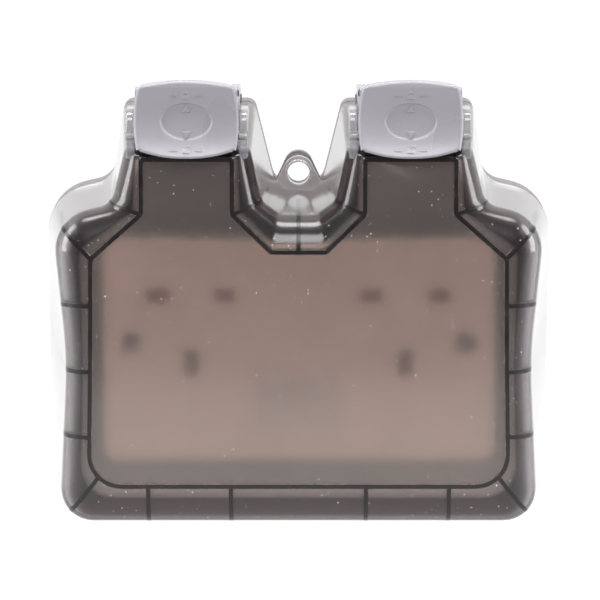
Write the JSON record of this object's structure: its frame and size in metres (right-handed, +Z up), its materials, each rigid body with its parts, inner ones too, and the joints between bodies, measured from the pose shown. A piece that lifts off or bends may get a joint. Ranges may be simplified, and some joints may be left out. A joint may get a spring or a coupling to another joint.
{
  "type": "weatherproof double switched socket",
  "caption": "Outdoor double switched power socket in a two-shell enclosure with a smoked hinged lid, rocking latches, flex outlets and a padlock eye.",
  "frame": {"origin": "on the base surface, under the middle of the bounding box", "axes": "+X to the viewer's right, -Y to the front panel, +Y to the wall face, +Z up towards the latches as it stands on its hinge side"},
  "size_m": [0.161, 0.099, 0.1406],
  "materials": {
    "smoked_plastic": "clear smoked polycarbonate, frosted on the flat panel",
    "box_plastic": "moulded, semi-gloss dark grey",
    "latch_plastic": "glossy light grey",
    "white_plastic": "gloss warm white",
    "rocker_plastic": "gloss warm white",
    "shutter_plastic": "satin red-brown",
    "dark_plastic": "moulded matt",
    "rubber": "matt",
    "steel": "zinc plated",
    "brass": "stamped"
  },
  "bodies": {
    "enclosure": {"back_box": "box_plastic", "rim_gasket": "rubber", "socket_plate": "white_plastic", "socket_base": "dark_plastic", "base_cover": "dark_plastic", "plate_screws": "steel", "threaded_inserts": "brass", "neutral_strap": "brass", "earth_strap": "brass", "terminal_live": "brass", "terminal_neutral": "brass", "terminal_earth": "brass", "terminal_screws": "steel", "module_screws": "steel", "entry_plug": "rubber", "flex_seal_box_left": "rubber", "hinge_pin_left": "steel", "shutter_spring_left": "steel", "live_contact_left": "brass", "flex_seal_box_right": "rubber", "hinge_pin_right": "steel", "shutter_spring_right": "steel", "live_contact_right": "brass"},
    "lid": {"lid_shell": "smoked_plastic", "flex_seal_lid_left": "rubber", "flex_seal_lid_right": "rubber", "latch_pin_left": "steel", "latch_pin_right": "steel"},
    "latch_left": {"latch_left": "latch_plastic"},
    "latch_right": {"latch_right": "latch_plastic"},
    "rocker_left": {"rocker_left": "rocker_plastic"},
    "rocker_right": {"rocker_right": "rocker_plastic"},
    "shutter_left": {"shutter_left": "shutter_plastic"},
    "shutter_right": {"shutter_right": "shutter_plastic"}
  },
  "joints": [
    {"name": "lid_hinge", "type": "hinge", "parent": "enclosure", "child": "lid", "pos_m": [0, 0.0115, 0.0031], "axis": [1, 0, 0], "range_deg": [0, 95]},
    {"name": "latch_left_pivot", "type": "hinge", "parent": "lid", "child": "latch_left", "pos_m": [-0.0343, -0.0375, 0.1226], "axis": [1, 0, 0], "range_deg": [0, 18]},
    {"name": "latch_right_pivot", "type": "hinge", "parent": "lid", "child": "latch_right", "pos_m": [0.0343, -0.0375, 0.1226], "axis": [1, 0, 0], "range_deg": [0, 18]},
    {"name": "rocker_left_tilt", "type": "hinge", "parent": "enclosure", "child": "rocker_left", "pos_m": [-0.0068, 0.0149, 0.0312], "axis": [1, 0, 0], "range_deg": [-10, 0]},
    {"name": "rocker_right_tilt", "type": "hinge", "parent": "enclosure", "child": "rocker_right", "pos_m": [0.0068, 0.0149, 0.0312], "axis": [1, 0, 0], "range_deg": [-10, 0]},
    {"name": "shutter_left_slide", "type": "slide", "parent": "enclosure", "child": "shutter_left", "axis": [0, 0, 1], "range_m": [0, 0.006], "stiffness_N_per_m": 40, "springref_m": -0.002, "deforming": ["shutter_spring_left"]},
    {"name": "shutter_right_slide", "type": "slide", "parent": "enclosure", "child": "shutter_right", "axis": [0, 0, 1], "range_m": [0, 0.006], "stiffness_N_per_m": 40, "springref_m": -0.002, "deforming": ["shutter_spring_right"]}
  ]
}
